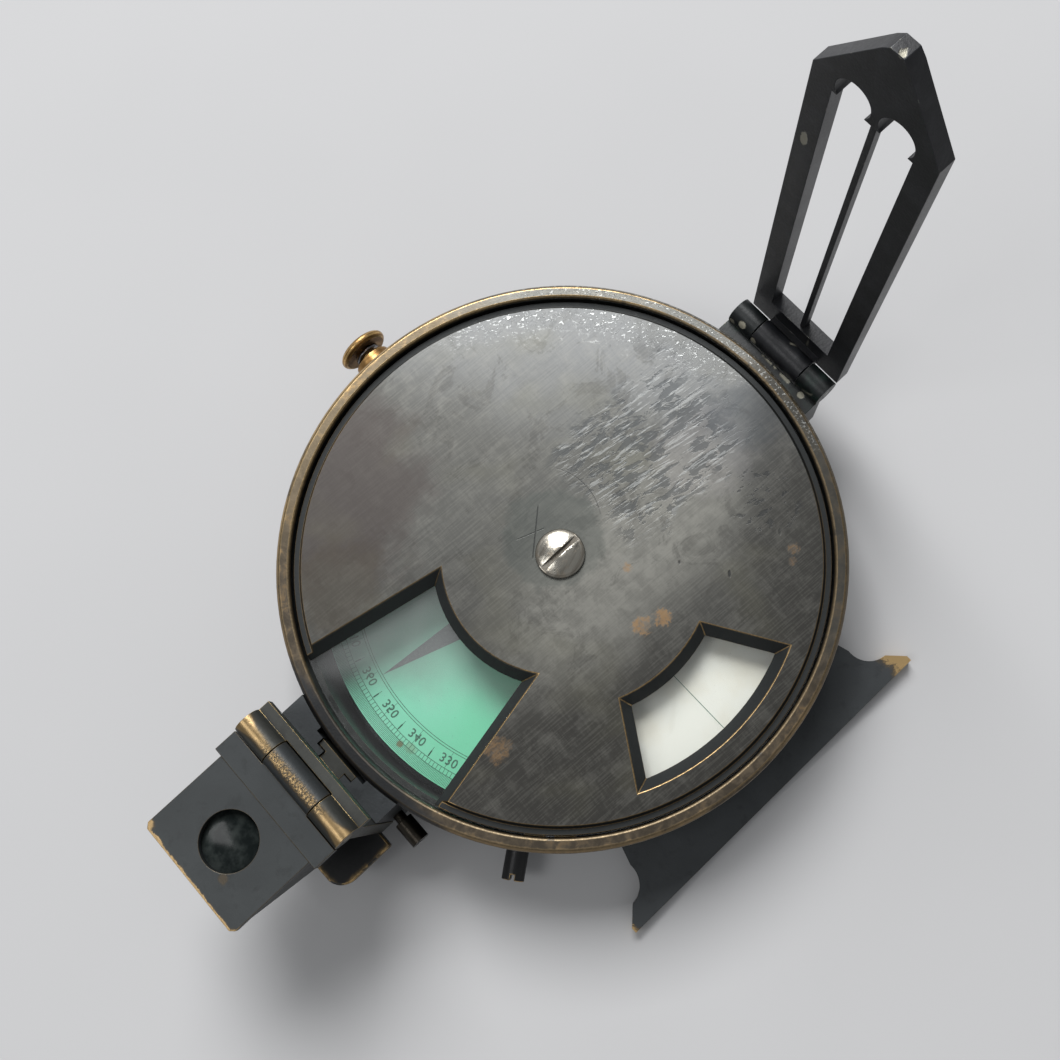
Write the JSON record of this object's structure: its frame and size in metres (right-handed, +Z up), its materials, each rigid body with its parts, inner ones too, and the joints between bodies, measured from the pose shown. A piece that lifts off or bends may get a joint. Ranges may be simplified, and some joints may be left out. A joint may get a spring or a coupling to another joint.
{
  "type": "inclinometer",
  "caption": "Round pocket compass and clinometer in patinated brass: windowed cover, fold-down sighting vane, hinged prism on a focusing slide, straight edge bar and push knob.",
  "frame": {"origin": "centre of the case's flat back face", "axes": "+X from the eye prism to the sighting vane, -Y to the straight edge bar, +Z up out of the cover"},
  "size_m": [0.0958, 0.0771, 0.0757],
  "materials": {
    "case_brass": "dark patina, brass worn bright on the edges",
    "cover_brass": "grey-brown patina with pale scratches",
    "bright_brass": "handled brass",
    "black_brass": "blackened, chipped to metal on the edges",
    "black_paint": "worn satin black",
    "cover_glass": "clear, slightly green",
    "prism_glass": "clear polished",
    "screw_steel": "nickel-grey, worn",
    "hard_steel": "bright turned",
    "spring_steel": "drawn wire",
    "card_green": "matt pale green face with a printed dial",
    "sector_white": "matt warm white enamel",
    "weight_brass": "dull turned brass",
    "magnet_steel": "blued"
  },
  "bodies": {
    "case": {"base_plate": "case_brass", "base_screws": "screw_steel", "case_wall": "case_brass", "bezel_ring": "case_brass", "cover_plate": "cover_brass", "cover_glass": "cover_glass", "centre_screw": "screw_steel", "bridge_bar": "weight_brass", "bridge_screws": "screw_steel", "clinometer_arbor": "hard_steel", "pivot_post": "weight_brass", "pivot_pin": "hard_steel", "lifter_bracket": "weight_brass", "lifter_pin": "hard_steel", "lock_guide": "weight_brass", "lock_spring": "spring_steel", "brake_bush": "bright_brass", "brake_spring": "spring_steel", "vane_bracket": "black_brass", "vane_hinge_pin": "hard_steel", "prism_guide": "case_brass", "slide_clamp_screw": "screw_steel"},
    "clinometer": {"clinometer_hub": "weight_brass", "clinometer_sector": "sector_white", "clinometer_weight": "weight_brass"},
    "compass": {"compass_card": "card_green", "card_cap": "weight_brass", "card_magnet": "magnet_steel"},
    "lifter": {"card_lifter": "weight_brass"},
    "lock": {"lock_plunger": "black_brass"},
    "brake": {"brake_knob": "bright_brass", "brake_shoe": "weight_brass"},
    "vane": {"vane_frame": "black_paint", "vane_bar": "black_paint"},
    "slide": {"prism_slide": "case_brass", "thumb_rest": "black_brass", "prism_hinge_pin": "hard_steel"},
    "prism": {"prism_plate": "black_brass", "prism_housing": "black_brass", "prism_glass": "prism_glass"}
  },
  "joints": [
    {"name": "vane_fold", "type": "hinge", "parent": "case", "child": "vane", "pos_m": [0.037, 0, 0.0138], "axis": [0, -1, 0], "range_deg": [0, 91.3]},
    {"name": "prism_focus", "type": "slide", "parent": "case", "child": "slide", "axis": [0, 0, 1], "range_m": [-0.0043, 0]},
    {"name": "prism_fold", "type": "hinge", "parent": "slide", "child": "prism", "pos_m": [-0.03775, 0, 0.0235], "axis": [0, 1, 0], "range_deg": [0, 180]},
    {"name": "compass_turn", "type": "hinge", "parent": "case", "child": "compass", "pos_m": [0, 0, 0.00765], "axis": [0, 0, 1], "continuous": true},
    {"name": "clinometer_swing", "type": "hinge", "parent": "case", "child": "clinometer", "pos_m": [0, 0, 0.0095], "axis": [0, 0, 1], "continuous": true},
    {"name": "brake_press", "type": "slide", "parent": "case", "child": "brake", "axis": [0, -1, 0], "range_m": [0, 0.0011], "stiffness_N_per_m": 600, "springref_m": -0.0008, "deforming": ["brake_spring"]},
    {"name": "lock_press", "type": "slide", "parent": "case", "child": "lock", "axis": [0.7923, 0.6101, 0], "range_m": [0, 0.0015], "stiffness_N_per_m": 600, "springref_m": -0.0008, "deforming": ["lock_spring"]},
    {"name": "lifter_rock", "type": "hinge", "parent": "case", "child": "lifter", "pos_m": [0.00713, 0.00549, 0.0044], "axis": [-0.6101, 0.7923, 0], "range_deg": [0, 2.05]}
  ],
  "couplings": [
    {"joint": "lifter_rock", "follows": "lock_press", "rad_per_m": 23.271}
  ]
}
